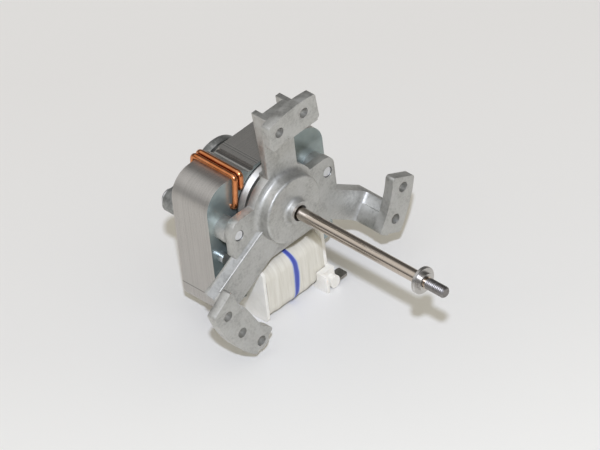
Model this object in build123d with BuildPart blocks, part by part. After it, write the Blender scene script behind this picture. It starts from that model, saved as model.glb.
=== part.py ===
# Fan motor: shaded pole motor with a laminated C core, a die cast three arm front bracket
# and a long fan shaft. Millimetres. The shaft runs along Y and points to -Y, +Z is up.
# The origin lies on the shaft axis, in the plane where the three front flanges are bolted on.
import os
from math import cos, radians, sin

from build123d import *

os.makedirs("parts", exist_ok=True)

# Main sizes
core_width = 61.0
core_depth = 18.5
core_front = 23.3
core_back = core_front + core_depth
core_top = 17.1
shoulder_top = 18.6
core_corner = 10.0
bore_radius = 16.0
limb_width = 14.0
window_half = core_width / 2 - limb_width
window_top = -core_top
window_corner_top = -shoulder_top
bar_top = -30.7
bar_height = 7.4
bar_bottom = bar_top - bar_height
bar_middle = bar_top - bar_height / 2
bar_corner = 4.0

# Fits and small clearances
running_gap = 0.03
hole_gap = 0.3
air_gap = 0.5

# Shaft and rotor
shaft_radius = 2.5
collar_front = -58.1
collar_thick = 1.5
collar_radius = 5.5
collar_step_radius = 3.6
collar_step = 1.5
thread_radius = 2.3
neck_radius = 1.95
neck_long = 0.8
shaft_tip = -69.3
tip_chamfer = 0.6
rotor_radius = bore_radius - air_gap
bar_count = 17
bar_radius = 1.15
bar_circle = 13.4
ring_height = 2.4
ring_inner = 10.2
ring_chamfer = 0.3

# Fixing screws of the core and the two brackets
screw_edge = 7.04
screw_side = core_width / 2 - screw_edge
screw_radius = 1.95
screw_hole = screw_radius + hole_gap
screw_tip_in = 0.4
screw_head_radius = 3.5
screw_head = 2.3

# Front bracket
flange_thick = 4.0
hole_circle = 49.2
flange_inner = hole_circle - 5.8
flange_outer = hole_circle + 5.6
flange_hole = 2.1
flange_pitch = 15.2
end_hole_wall = 1.7
pattern_turn = 4.6
plate_front = 14.6
plate_thick = 3.6
plate_back = plate_front + plate_thick
screw_tip = plate_front + screw_tip_in
rib_thick = 2.3
web_thick = 2.6
wall_thick = 3.2
disc_front = 9.0
disc_edge = 1.0
hub_flare = 2.4
disc_radius = 13.9
nose_front = 5.9
nose_radius = 4.7
nose_flare = 1.6
nose_hole = 3.25
web_radius = disc_radius + hub_flare
ear_half = screw_side + 3.7
ear_top = 6.8
ear_low = -8.4
web_low = -20.0
web_left = -13.2
web_right = 12.0
left_web_reach = 22.0
right_web_reach = 30.6
right_web_near = 27.0
boss_radius = 4.7
corner_round = 4.6

# Sleeve bearings
bush_radius = 5.0
bush_bore = shaft_radius + running_gap
bush_length = 7.6
bush_front = 9.4
felt_radius = 8.4
felt_pocket = 9.0
felt_length = 3.4
felt_front = bush_front + bush_length - felt_length
retainer_thick = 0.6
retainer_hole = 3.3

# Rear bracket
rear_bush_front = core_back + 3.8
rear_plate_back = core_back + 8.3
rear_plate = 3.4
rear_web_radius = 13.0
rear_hub_radius = 10.7
rear_hub_back = core_back + 9.7
rear_hub_edge = 2.2
rear_nose_radius = 6.4
rear_nose_back = core_back + 12.4
shaft_out = 2.6
shaft_rear = rear_nose_back + shaft_out

# Coil on its bobbin
side_gap = 0.2
bobbin_half = window_half - side_gap
cheek_thick = 1.4
cheek_front = core_front - 10.4
cheek_low = bar_bottom - 8.1
sleeve_gap = 0.15
sleeve_wall = 1.1
coil_front = cheek_front - 0.3
coil_low = cheek_low + 0.6
coil_round = 5.0
tape_thick = 0.5
stripe_width = 2.6
stripe_thick = 0.12

# Shading rings
ring_wire = 1.15
ring_sink = 0.25


def face_at(depth):
    """Drawing plane across the shaft, seen from the front, at a depth along +Y."""
    return Plane.XZ.offset(-depth)


def around(angle, reach, side=0.0):
    """Point at a reach from the axis along an angle, moved sideways against the clock."""
    a = radians(angle)
    return (reach * cos(a) - side * sin(a), reach * sin(a) + side * cos(a))


def section_at(angle, reach):
    """Plane across an arm: its x runs against the clock and its y runs to the front."""
    a = radians(angle)
    return Plane(
        origin=(reach * cos(a), 0, reach * sin(a)),
        x_dir=(-sin(a), 0, cos(a)),
        z_dir=(cos(a), 0, sin(a)),
    )


def side_of(angle, side):
    """Plane along an arm at a sideways distance: its x runs outwards and its y to the back."""
    a = radians(angle)
    return Plane(
        origin=(-side * sin(a), 0, side * cos(a)),
        x_dir=(cos(a), 0, sin(a)),
        z_dir=(-sin(a), 0, cos(a)),
    )


# Details of the sheets
shade_angles = (161.0, 137.0)
shade_reach = bore_radius + ring_wire + 1.5
shade_hole = ring_wire
shade_slit = 0.8
slit_over = 1.0
outer_leg_side = -16.0
inner_leg_side = -13.2
step_side = 5.0
step_slope = 7.4
step_shoulder = 10.4
step_height = 15.8
tongue_height = 3.6
tongue_wide = 5.6
tongue_neck = 3.8
tongue_side = core_width / 2 - limb_width / 2
rivet_radius = 1.5
rivet_edge = 4.5
rivet_side = core_width / 2 - rivet_edge
rivet_height = -12.5
rivet_head = 2.0
rivet_head_long = 2.4

# Stator core: the C shaped stack of sheets with the rotor bore
with BuildPart() as stator_core:
    with BuildSketch(face_at(core_back)) as core_blank:
        with BuildLine():
            Polyline(
                (-core_width / 2, bar_top),
                (core_width / 2, bar_top),
                (core_width / 2, core_top),
                (-step_side, core_top),
                (-step_side, step_height),
                (-step_slope, step_height),
                (-step_shoulder, shoulder_top),
                (-core_width / 2, shoulder_top),
                close=True,
            )
        make_face()
        left_and_right = core_blank.vertices().sort_by(Axis.X)
        top_corners = [left_and_right[:2].sort_by(Axis.Y)[-1], left_and_right[-2:].sort_by(Axis.Y)[-1]]
        fillet(top_corners, core_corner)
    extrude(amount=core_depth)
    with BuildSketch(face_at(core_back)):
        Circle(bore_radius)
        with BuildLine():
            Polyline(
                (-window_half, bar_top),
                (window_half, bar_top),
                (window_half, window_corner_top),
                (step_shoulder, window_corner_top),
                (step_slope, -step_height),
                (step_side, -step_height),
                (step_side, window_top),
                (-window_half, window_top),
                close=True,
            )
        make_face()
        with Locations((-screw_side, 0), (screw_side, 0)):
            Circle(screw_hole)
        with Locations((-rivet_side, rivet_height), (rivet_side, rivet_height)):
            Circle(rivet_radius)
        for turn in (0, 180):
            for angle in shade_angles:
                with Locations(around(angle + turn, shade_reach)):
                    Circle(shade_hole)
                with Locations(around(angle + turn, (bore_radius - slit_over + shade_reach) / 2)):
                    Rectangle(shade_reach - bore_radius + slit_over, shade_slit, rotation=angle)
        for sign in (-1, 1):
            for leg_side in (outer_leg_side, inner_leg_side):
                with Locations((sign * leg_side, sign * (shoulder_top + ring_wire - ring_sink))):
                    Circle(shade_hole)
        for side in (-tongue_side, tongue_side):
            with BuildLine():
                Polyline(
                    (side - tongue_neck / 2, bar_top),
                    (side - tongue_wide / 2, bar_top + tongue_height),
                    (side + tongue_wide / 2, bar_top + tongue_height),
                    (side + tongue_neck / 2, bar_top),
                    close=True,
                )
            make_face()
    extrude(amount=core_depth, mode=Mode.SUBTRACT)
stator_core.part.label = "stator_core"
export_step(stator_core.part, "parts/stator_core.step")

# Yoke bar: closes the core below the coil, keyed into both limbs by dovetails
with BuildPart() as yoke_bar:
    with BuildSketch(face_at(core_back)) as bar_blank:
        with Locations((0, bar_middle)):
            Rectangle(core_width, bar_height)
        fillet(bar_blank.vertices().sort_by(Axis.Y)[:2], bar_corner)
        for side in (-tongue_side, tongue_side):
            with BuildLine():
                Polyline(
                    (side - tongue_neck / 2, bar_top),
                    (side - tongue_wide / 2, bar_top + tongue_height),
                    (side + tongue_wide / 2, bar_top + tongue_height),
                    (side + tongue_neck / 2, bar_top),
                    close=True,
                )
            make_face()
    extrude(amount=core_depth)
yoke_bar.part.label = "yoke_bar"
export_step(yoke_bar.part, "parts/yoke_bar.step")

# Core rivets
with BuildPart() as core_rivets:
    with BuildSketch(face_at(core_back + rivet_head_long)):
        with Locations((-rivet_side, rivet_height), (rivet_side, rivet_height)):
            Circle(rivet_radius)
    extrude(amount=core_depth + 2 * rivet_head_long)
    for depth in (core_back + rivet_head_long, core_front):
        with BuildSketch(face_at(depth)):
            with Locations((-rivet_side, rivet_height), (rivet_side, rivet_height)):
                Circle(rivet_head)
        extrude(amount=rivet_head_long)
core_rivets.part.label = "core_rivets"
export_step(core_rivets.part, "parts/core_rivets.step")


# Shading rings: closed copper wires round the tip of each pole
def shading_ring(turn, angle, top_side, stand_off):
    """Rectangular wire ring: one leg in the slot at the bore, one leg on the outer side."""
    a = radians(turn)
    inner_x, inner_z = around(angle, shade_reach)
    outer_x, outer_z = top_side, shoulder_top + ring_wire - ring_sink
    corners = []
    for x, z, depth in (
        (inner_x, inner_z, core_front - stand_off),
        (outer_x, outer_z, core_front - stand_off),
        (outer_x, outer_z, core_back + stand_off),
        (inner_x, inner_z, core_back + stand_off),
    ):
        corners.append((x * cos(a) - z * sin(a), depth, x * sin(a) + z * cos(a)))
    return corners


ring_bend = 1.6
ring_stand = ring_bend + 0.05
ring_names = ("upper_outer", "upper_inner", "lower_outer", "lower_inner")
ring_turns = (0, 0, 180, 180)
ring_angles = (shade_angles[0], shade_angles[1]) * 2
ring_sides = (outer_leg_side, inner_leg_side) * 2
for ring_name, turn, angle, side in zip(ring_names, ring_turns, ring_angles, ring_sides):
    corners = shading_ring(turn, angle, side, ring_stand)
    with BuildPart() as shading_wire:
        with BuildLine() as wire_path:
            FilletPolyline(*corners, radius=ring_bend, close=True)
        start = wire_path.line @ 0.05
        along_wire = wire_path.line % 0.05
        with BuildSketch(Plane(origin=start, z_dir=along_wire)):
            Circle(ring_wire)
        sweep(path=wire_path.line)
    shading_wire.part.label = "shading_ring_" + ring_name
    export_step(shading_wire.part, "parts/shading_ring_" + ring_name + ".step")

# Rotor core: stack of sheets with a closed slot for every bar
with BuildPart() as rotor_core:
    with BuildSketch(face_at(core_back)):
        Circle(rotor_radius)
        Circle(shaft_radius, mode=Mode.SUBTRACT)
        with PolarLocations(bar_circle, bar_count):
            Circle(bar_radius, mode=Mode.SUBTRACT)
    extrude(amount=core_depth)
rotor_core.part.label = "rotor_core"
export_step(rotor_core.part, "parts/rotor_core.step")

# Rotor cage: cast aluminium bars joined by a ring at each end
with BuildPart() as rotor_cage:
    with BuildSketch(face_at(core_back)):
        with PolarLocations(bar_circle, bar_count):
            Circle(bar_radius)
    extrude(amount=core_depth)
    for depth in (core_back + ring_height, core_front):
        with BuildSketch(face_at(depth)):
            Circle(rotor_radius - 0.1)
            Circle(ring_inner, mode=Mode.SUBTRACT)
        extrude(amount=ring_height)
    end_rims = rotor_cage.edges().filter_by(GeomType.CIRCLE)
    end_rims = end_rims.filter_by(lambda e: e.radius > ring_inner and abs(
        abs(e.center().Y - (core_front + core_back) / 2) - core_depth / 2 - ring_height) < 0.01)
    chamfer(end_rims, ring_chamfer)
rotor_cage.part.label = "rotor_cage"
export_step(rotor_cage.part, "parts/rotor_cage.step")

# Shaft with its threaded tip
with BuildPart() as shaft:
    with BuildSketch(face_at(shaft_rear)):
        Circle(shaft_radius)
    extrude(amount=shaft_rear - (collar_front - collar_step))
    with BuildSketch(face_at(collar_front - collar_step)):
        Circle(neck_radius)
    extrude(amount=neck_long)
    with BuildSketch(face_at(collar_front - collar_step - neck_long)):
        Circle(thread_radius)
    extrude(amount=collar_front - collar_step - neck_long - shaft_tip)
    shaft_ends = shaft.edges().filter_by(GeomType.CIRCLE).sort_by(Axis.Y)
    chamfer([shaft_ends[0], shaft_ends[-1]], tip_chamfer)
shaft.part.label = "shaft"
export_step(shaft.part, "parts/shaft.step")

# Collar pressed on the shaft behind the thread, it carries the fan wheel
with BuildPart() as shaft_collar:
    with BuildSketch(face_at(collar_front + collar_thick)):
        Circle(collar_radius)
    extrude(amount=collar_thick)
    collar_rims = shaft_collar.edges().filter_by(GeomType.CIRCLE)
    chamfer(collar_rims, 0.25)
    with BuildSketch(face_at(collar_front)):
        Circle(collar_step_radius)
    extrude(amount=collar_step)
    with BuildSketch(face_at(collar_front + collar_thick)):
        Circle(shaft_radius)
    extrude(amount=collar_thick + collar_step, mode=Mode.SUBTRACT)
shaft_collar.part.label = "shaft_collar"
export_step(shaft_collar.part, "parts/shaft_collar.step")

# Sleeve bearings, their oil felts and the stamped retainers
rear_felt_front = rear_bush_front
for place, bush_from, felt_from, retainer_from in (
    ("front", bush_front, felt_front, bush_front + bush_length),
    ("rear", rear_bush_front, rear_felt_front, rear_bush_front - retainer_thick),
):
    with BuildPart() as bush:
        with BuildSketch(face_at(bush_from + bush_length)):
            Circle(bush_radius)
            Circle(bush_bore, mode=Mode.SUBTRACT)
        extrude(amount=bush_length)
    bush.part.label = place + "_bush"
    export_step(bush.part, "parts/" + place + "_bush.step")

    with BuildPart() as felt:
        with BuildSketch(face_at(felt_from + felt_length)):
            Circle(felt_radius)
            Circle(bush_radius, mode=Mode.SUBTRACT)
        extrude(amount=felt_length)
    felt.part.label = place + "_oil_felt"
    export_step(felt.part, "parts/" + place + "_oil_felt.step")

    with BuildPart() as retainer:
        with BuildSketch(face_at(retainer_from + retainer_thick)):
            Circle(felt_pocket)
            Circle(retainer_hole, mode=Mode.SUBTRACT)
        extrude(amount=retainer_thick)
    retainer.part.label = place + "_retainer"
    export_step(retainer.part, "parts/" + place + "_retainer.step")

# Thrust washers: they fill the shaft between the rotor core and each retainer
washer_radius = 4.6
spacer_radius = 3.6
washer_thick = 0.8
end_play = 0.4
front_stop = bush_front + bush_length + end_play
rear_stop = rear_bush_front - end_play
for place, near, far, washer_back in (
    ("front", front_stop, core_front, front_stop + washer_thick + retainer_thick),
    ("rear", core_back, rear_stop, rear_stop - retainer_thick),
):
    with BuildPart() as thrust_washer:
        with BuildSketch(face_at(far)):
            Circle(retainer_hole - hole_gap)
            Circle(shaft_radius, mode=Mode.SUBTRACT)
        extrude(amount=far - near)
        with BuildSketch(face_at(washer_back)):
            Circle(washer_radius)
            Circle(shaft_radius, mode=Mode.SUBTRACT)
        extrude(amount=washer_thick)
    thrust_washer.part.label = place + "_thrust_washer"
    export_step(thrust_washer.part, "parts/" + place + "_thrust_washer.step")

# Front bracket: one die casting with hub, two screw ears and three stepped arms
top_arm, right_arm, left_arm = 90.0, -34.6, 208.0
top_flange = 90.0 + pattern_turn
right_flange = -30.0 + pattern_turn
left_flange = 210.0 + pattern_turn
arm_wall = {top_arm: flange_inner - 1.6, right_arm: flange_inner + 1.6, left_arm: flange_inner - 1.8}
left_rise = 1.2
arm_front = {top_arm: plate_front, right_arm: plate_front, left_arm: plate_front - left_rise}
arm_low = {top_arm: -9.0, right_arm: -6.2, left_arm: -5.0}
arm_high = {top_arm: 6.0, right_arm: 6.5, left_arm: 11.7}
arm_slope = {top_arm: 0.0, right_arm: 0.8, left_arm: 2.6}
arm_low_back = {top_arm: 19.4, right_arm: 20.4, left_arm: 16.8}
arm_high_back = {top_arm: 19.4, right_arm: 20.4, left_arm: 18.8}
slope_depth = 2.4
arm_root = {top_arm: 6.0, right_arm: 18.0, left_arm: 9.0}
flange_ends = {top_flange: (-13.4, 11.2), right_flange: (-12.4, 10.8), left_flange: (-19.2, 15.0)}
bend_round = 2.2
arm_inner_round = {top_arm: 3.0, right_arm: 3.0, left_arm: 0.9}
taper_hub, taper_end, taper_over = 16.8, 19.4, 1.0
pad_low, pad_high, pad_thick = -4.8, 2.0, 0.7
ribs_of_web = 1.0

with BuildPart() as front_bracket:
    # Plate with the ears and the web between the arms
    with BuildSketch(face_at(plate_back)) as plate_outline:
        with Locations((0, (ear_top + ear_low) / 2)):
            Rectangle(2 * ear_half, ear_top - ear_low)
        fillet(plate_outline.vertices().sort_by(Axis.Y)[-2:], corner_round)
        Circle(web_radius)
        with BuildLine():
            Polyline(
                (-ear_half, ear_low),
                around(left_arm, left_web_reach, arm_high[left_arm]),
                (web_left, web_low),
                (web_right, web_low),
                around(right_arm, right_web_reach, arm_low[right_arm]),
                around(right_arm, right_web_near, arm_high[right_arm] + ribs_of_web),
                (ear_half, ear_low),
                close=True,
            )
        make_face()
    extrude(amount=plate_back - plate_front)
    # Arms: a thin web between two side ribs, bent forward into a wall
    for angle in (top_arm, right_arm, left_arm):
        low, high = arm_low[angle], arm_high[angle]
        low_back, high_back = arm_low_back[angle], arm_high_back[angle]
        slope, wall, front = arm_slope[angle], arm_wall[angle], arm_front[angle]
        inner_round = arm_inner_round[angle]
        width = high - low
        with BuildSketch(section_at(angle, wall + wall_thick)):
            with BuildLine():
                Polyline(
                    (low, -low_back),
                    (low, -front - slope_depth),
                    (low + slope, -front),
                    (high, -front),
                    (high, -high_back),
                    (high - rib_thick, -high_back),
                    (high - rib_thick, -plate_front - web_thick),
                    (low + rib_thick, -plate_front - web_thick),
                    (low + rib_thick, -low_back),
                    close=True,
                )
            make_face()
        extrude(amount=-(wall + wall_thick - arm_root[angle]))
        with BuildSketch(section_at(angle, wall + wall_thick)):
            with BuildLine():
                Polyline(
                    (low + slope, 0),
                    (low + slope, -front),
                    (low, -front - slope_depth),
                    (low, -plate_front - web_thick),
                    (high, -plate_front - web_thick),
                    (high, 0),
                    close=True,
                )
            make_face()
        extrude(amount=-wall_thick)
        with BuildSketch(side_of(angle, low + rib_thick)):
            with Locations((wall + wall_thick, plate_front + web_thick)):
                Rectangle(2 * bend_round, 2 * bend_round)
            with Locations((wall + wall_thick - bend_round, plate_front + web_thick - bend_round)):
                Circle(bend_round, mode=Mode.SUBTRACT)
        extrude(amount=width - 2 * rib_thick, mode=Mode.SUBTRACT)
        with BuildSketch(side_of(angle, low + slope)):
            with Locations((wall, front)):
                Rectangle(inner_round, inner_round, align=(Align.MAX, Align.MAX))
            with Locations((wall - inner_round, front - inner_round)):
                Circle(inner_round, mode=Mode.SUBTRACT)
        extrude(amount=width - slope)
    # The ribs of the top arm grow deeper from the hub to the bend
    top_end = arm_wall[top_arm] + wall_thick
    with BuildSketch(side_of(top_arm, arm_low[top_arm])):
        with BuildLine():
            Polyline(
                (web_radius, taper_hub),
                (top_end, taper_end),
                (top_end, taper_end + taper_over),
                (web_radius, taper_end + taper_over),
                close=True,
            )
        make_face()
    extrude(amount=arm_high[top_arm] - arm_low[top_arm], mode=Mode.SUBTRACT)
    # Raised pad on the inner side of the right arm's wall
    with BuildSketch(section_at(right_arm, arm_wall[right_arm])):
        with Locations(((pad_low + pad_high) / 2, -flange_thick)):
            Rectangle(pad_high - pad_low, plate_front - flange_thick,
                      align=(Align.CENTER, Align.MAX))
    extrude(amount=-pad_thick)
    # Flanges: ring segments in the mounting plane with square cut ends
    for angle in (top_flange, right_flange, left_flange):
        start_side, end_side = flange_ends[angle]
        with BuildSketch(face_at(flange_thick)) as flange:
            Circle(flange_outer)
            Circle(flange_inner, mode=Mode.SUBTRACT)
            with Locations(around(angle, flange_outer, (start_side + end_side) / 2)):
                Rectangle(2 * flange_outer, end_side - start_side, rotation=angle,
                          mode=Mode.INTERSECT)
            flange_vertices = flange.vertices()
            fillet(flange_vertices, 1.2)
            if angle == left_flange:
                with Locations(around(angle + flange_pitch, hole_circle)):
                    Circle(flange_hole + end_hole_wall)
        extrude(amount=flange_thick)
    # Hub disc with its nose, turned round the shaft, and the two bosses that stand on the core
    half_turn = cos(radians(45))
    with BuildSketch(Plane.YZ):
        with BuildLine():
            Polyline((plate_front, web_radius), (plate_back, web_radius), (plate_back, 0),
                     (nose_front, 0), (nose_front, nose_radius),
                     (disc_front - nose_flare, nose_radius))
            ThreePointArc((disc_front - nose_flare, nose_radius),
                          (disc_front - nose_flare * (1 - half_turn),
                           nose_radius + nose_flare * (1 - half_turn)),
                          (disc_front, nose_radius + nose_flare))
            Line((disc_front, nose_radius + nose_flare), (disc_front, disc_radius - disc_edge))
            ThreePointArc((disc_front, disc_radius - disc_edge),
                          (disc_front + disc_edge * (1 - half_turn),
                           disc_radius - disc_edge * (1 - half_turn)),
                          (disc_front + disc_edge, disc_radius))
            Line((disc_front + disc_edge, disc_radius), (plate_front - hub_flare, disc_radius))
            ThreePointArc((plate_front - hub_flare, disc_radius),
                          (plate_front - hub_flare * (1 - half_turn),
                           disc_radius + hub_flare * (1 - half_turn)),
                          (plate_front, web_radius))
        make_face()
    revolve(axis=Axis.Y)
    with BuildSketch(face_at(core_front)):
        with Locations((-screw_side, 0), (screw_side, 0)):
            Circle(boss_radius)
    extrude(amount=core_front - plate_back)
    # Holes for screws, bearing, felt and shaft
    with BuildSketch(face_at(core_front)):
        with Locations((-screw_side, 0), (screw_side, 0)):
            Circle(screw_hole)
    extrude(amount=core_front - plate_front, mode=Mode.SUBTRACT)
    with BuildSketch(face_at(plate_back)):
        Circle(felt_pocket)
    extrude(amount=plate_back - felt_front, mode=Mode.SUBTRACT)
    with BuildSketch(face_at(plate_back)):
        Circle(bush_radius)
    extrude(amount=plate_back - bush_front, mode=Mode.SUBTRACT)
    with BuildSketch(face_at(plate_back)):
        Circle(nose_hole)
    extrude(amount=plate_back - nose_front, mode=Mode.SUBTRACT)
    with BuildSketch(face_at(flange_thick)):
        for angle, steps in ((top_flange, (-0.5, 0.5)), (right_flange, (-0.5, 0.5)),
                             (left_flange, (-1, 0, 1))):
            for step in steps:
                with Locations(around(angle + step * flange_pitch, hole_circle)):
                    Circle(flange_hole)
    extrude(amount=flange_thick, mode=Mode.SUBTRACT)
front_bracket.part.label = "front_bracket"
export_step(front_bracket.part, "parts/front_bracket.step")

# Rear bracket: a bridge behind the rotor on two bosses, with the hub of the rear bearing
rear_ear_round = boss_radius + 0.3
rear_hub_front = rear_bush_front - retainer_thick
with BuildPart() as rear_bracket:
    with BuildSketch(face_at(rear_plate_back)):
        SlotCenterToCenter(2 * screw_side, 2 * rear_ear_round)
        Circle(rear_web_radius)
    extrude(amount=rear_plate)
    with BuildSketch(face_at(rear_plate_back)):
        with Locations((-screw_side, 0), (screw_side, 0)):
            Circle(rear_ear_round)
    extrude(amount=rear_plate_back - core_back)
    # Hub with the bearing nose, turned round the shaft
    with BuildSketch(Plane.YZ):
        with BuildLine():
            Polyline((rear_hub_back, rear_hub_radius - rear_hub_edge),
                     (rear_hub_back, rear_nose_radius), (rear_nose_back, rear_nose_radius),
                     (rear_nose_back, 0), (rear_hub_front, 0), (rear_hub_front, rear_hub_radius),
                     (rear_hub_back - rear_hub_edge, rear_hub_radius))
            ThreePointArc((rear_hub_back - rear_hub_edge, rear_hub_radius),
                          (rear_hub_back - rear_hub_edge * (1 - half_turn),
                           rear_hub_radius - rear_hub_edge * (1 - half_turn)),
                          (rear_hub_back, rear_hub_radius - rear_hub_edge))
        make_face()
    revolve(axis=Axis.Y)
    # Felt room, bush seat, shaft hole and screw holes
    with BuildSketch(face_at(rear_felt_front + felt_length)):
        Circle(felt_pocket)
    extrude(amount=felt_length + retainer_thick, mode=Mode.SUBTRACT)
    with BuildSketch(face_at(rear_bush_front + bush_length)):
        Circle(bush_radius)
    extrude(amount=bush_length + retainer_thick, mode=Mode.SUBTRACT)
    with BuildSketch(face_at(rear_nose_back)):
        Circle(nose_hole)
    extrude(amount=rear_nose_back - core_back, mode=Mode.SUBTRACT)
    with BuildSketch(face_at(rear_plate_back)):
        with Locations((-screw_side, 0), (screw_side, 0)):
            Circle(screw_hole)
    extrude(amount=rear_plate_back - core_back, mode=Mode.SUBTRACT)
rear_bracket.part.label = "rear_bracket"
export_step(rear_bracket.part, "parts/rear_bracket.step")

# Bracket screws: put in from the rear, their tips show in the front ears
with BuildPart() as bracket_screws:
    with BuildSketch(face_at(rear_plate_back)):
        with Locations((-screw_side, 0), (screw_side, 0)):
            Circle(screw_radius)
    extrude(amount=rear_plate_back - screw_tip)
    with BuildSketch(face_at(rear_plate_back + screw_head)):
        with Locations((-screw_side, 0), (screw_side, 0)):
            Circle(screw_head_radius)
    extrude(amount=screw_head)
    head_rims = bracket_screws.edges().filter_by(GeomType.CIRCLE).sort_by(Axis.Y)[-2:]
    fillet(head_rims, 0.8)
    recess_depth = 1.3
    with BuildSketch(face_at(rear_plate_back + screw_head)):
        with Locations((-screw_side, 0), (screw_side, 0)):
            Rectangle(4.0, 0.9)
            Rectangle(0.9, 4.0)
    extrude(amount=recess_depth, mode=Mode.SUBTRACT)
bracket_screws.part.label = "bracket_screws"
export_step(bracket_screws.part, "parts/bracket_screws.step")

# Bobbin: a sleeve round the yoke bar, two cheeks and the terminal block
sleeve_top = bar_top + sleeve_gap + sleeve_wall
sleeve_low = bar_bottom - sleeve_gap - sleeve_wall
sleeve_height = bar_height + 2 * (sleeve_gap + sleeve_wall)
core_middle = (core_front + core_back) / 2
sleeve_deep = core_depth + 2 * (sleeve_gap + sleeve_wall)
cheek_back = 2 * core_middle - cheek_front
cheek_high = bar_middle + (bar_middle - cheek_low)
cheek_round = 2.0
coil_half = bobbin_half - cheek_thick
block_left = bobbin_half - 6.6
block_right = bobbin_half + 0.3
block_front = cheek_front - 5.6
block_top = cheek_low + 7.7
block_wall = 1.5
wire_slot = 0.9
slot_deep = 2.5
knob_round = 2.1
block_back = coil_front - hole_gap
bridge_back = cheek_front + 3.0
knob_low = cheek_low + 0.3
knob_top = cheek_low + 5.4
foot_long, foot_high = 4.1, 5.2
tab_wide, tab_thick = 4.8, 0.8
tab_root = coil_half - 1.6
tab_end = block_right + 4.6
tab_low = cheek_low + 2.0
tab_middle = block_front + tab_wide / 2 + 0.3

with BuildPart() as bobbin:
    with BuildSketch(Plane.YZ.offset(-bobbin_half)):
        with Locations((core_middle, bar_middle)):
            Rectangle(sleeve_deep, sleeve_height)
            Rectangle(core_depth + 2 * sleeve_gap, bar_height + 2 * sleeve_gap,
                      mode=Mode.SUBTRACT)
    extrude(amount=2 * bobbin_half)
    for side in (-bobbin_half, bobbin_half - cheek_thick):
        with BuildSketch(Plane.YZ.offset(side)) as cheek:
            with Locations((core_middle, bar_middle)):
                Rectangle(cheek_back - cheek_front, cheek_high - cheek_low)
                fillet(cheek.vertices(), cheek_round)
                Rectangle(core_depth + 2 * sleeve_gap, bar_height + 2 * sleeve_gap,
                          mode=Mode.SUBTRACT)
        extrude(amount=cheek_thick)
    # Terminal block: a guide wall, a slot for the wire and a rounded nose, with the tab beside it
    with BuildSketch(Plane.XY.offset(cheek_low)):
        with Locations((block_left, block_back)):
            Rectangle(block_right - block_left, block_back - block_front - slot_deep,
                      align=(Align.MIN, Align.MAX))
            Rectangle(block_wall, block_back - block_front, align=(Align.MIN, Align.MAX))
        with Locations((coil_half, bridge_back)):
            Rectangle(block_right - coil_half, bridge_back - block_front - slot_deep,
                      align=(Align.MIN, Align.MAX))
    extrude(amount=block_top - cheek_low)
    knob_left = block_left + block_wall + wire_slot
    with BuildSketch(face_at(block_front + slot_deep)):
        with Locations(((knob_left + block_right) / 2, (knob_low + knob_top) / 2)):
            RectangleRounded(block_right - knob_left, knob_top - knob_low, knob_round)
    extrude(amount=slot_deep)
    with BuildSketch(Plane.YZ.offset(block_left)):
        with Locations((block_back, cheek_low)):
            Rectangle(foot_long, foot_high, align=(Align.MIN, Align.MIN))
        with Locations((coil_front + coil_round, coil_low + coil_round)):
            Circle(coil_round + hole_gap, mode=Mode.SUBTRACT)
    extrude(amount=block_wall)
    with BuildSketch(Plane.XY.offset(tab_low)):
        with Locations((tab_root, tab_middle)):
            Rectangle(tab_end - tab_root, tab_wide, align=(Align.MIN, Align.CENTER))
    extrude(amount=tab_thick, mode=Mode.SUBTRACT)
    mirror(about=face_at(core_middle))
bobbin.part.label = "bobbin"
export_step(bobbin.part, "parts/bobbin.step")

# Winding, tape wrap and marking band round the bobbin sleeve
coil_back = 2 * core_middle - coil_front
coil_high = 2 * bar_middle - coil_low
winding_high = coil_high - coil_low - 2 * tape_thick
winding_deep = coil_back - coil_front - 2 * tape_thick
winding_round = coil_round - tape_thick
with BuildPart() as winding:
    with BuildSketch(Plane.YZ.offset(-coil_half)) as wires:
        with Locations((core_middle, bar_middle)):
            Rectangle(winding_deep, winding_high)
            fillet(wires.vertices(), winding_round)
            Rectangle(sleeve_deep, sleeve_height, mode=Mode.SUBTRACT)
    extrude(amount=2 * coil_half)
winding.part.label = "winding"
export_step(winding.part, "parts/winding.step")

with BuildPart() as tape_wrap:
    with BuildSketch(Plane.YZ.offset(-coil_half)) as wrap:
        with Locations((core_middle, bar_middle)):
            Rectangle(coil_back - coil_front, coil_high - coil_low)
            fillet(wrap.vertices(), coil_round)
            RectangleRounded(winding_deep, winding_high, winding_round, mode=Mode.SUBTRACT)
    extrude(amount=2 * coil_half)
tape_wrap.part.label = "tape_wrap"
export_step(tape_wrap.part, "parts/tape_wrap.step")

stripe_side = -0.6
band_deep = coil_back - coil_front + 2 * stripe_thick
band_high = coil_high - coil_low + 2 * stripe_thick
with BuildPart() as marking_band:
    with BuildSketch(Plane.YZ.offset(stripe_side - stripe_width / 2)):
        with Locations((core_middle, bar_middle)):
            RectangleRounded(band_deep, band_high, coil_round + stripe_thick)
            RectangleRounded(coil_back - coil_front, coil_high - coil_low, coil_round,
                             mode=Mode.SUBTRACT)
    extrude(amount=stripe_width)
marking_band.part.label = "marking_band"
export_step(marking_band.part, "parts/marking_band.step")

# Terminal tabs pressed into the two blocks of the bobbin, one for each end of the winding
tab_corner = 0.5
for place, depth in (("front", tab_middle), ("rear", 2 * core_middle - tab_middle)):
    with BuildPart() as terminal_tab:
        with BuildSketch(Plane.XY.offset(tab_low)):
            with Locations((tab_root, depth)):
                Rectangle(tab_end - tab_root, tab_wide, align=(Align.MIN, Align.CENTER))
        extrude(amount=tab_thick)
        tab_corners = terminal_tab.edges().filter_by(Axis.Z).sort_by(Axis.X)[-2:]
        chamfer(tab_corners, tab_corner)
    terminal_tab.part.label = place + "_terminal_tab"
    export_step(terminal_tab.part, "parts/" + place + "_terminal_tab.step")
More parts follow.
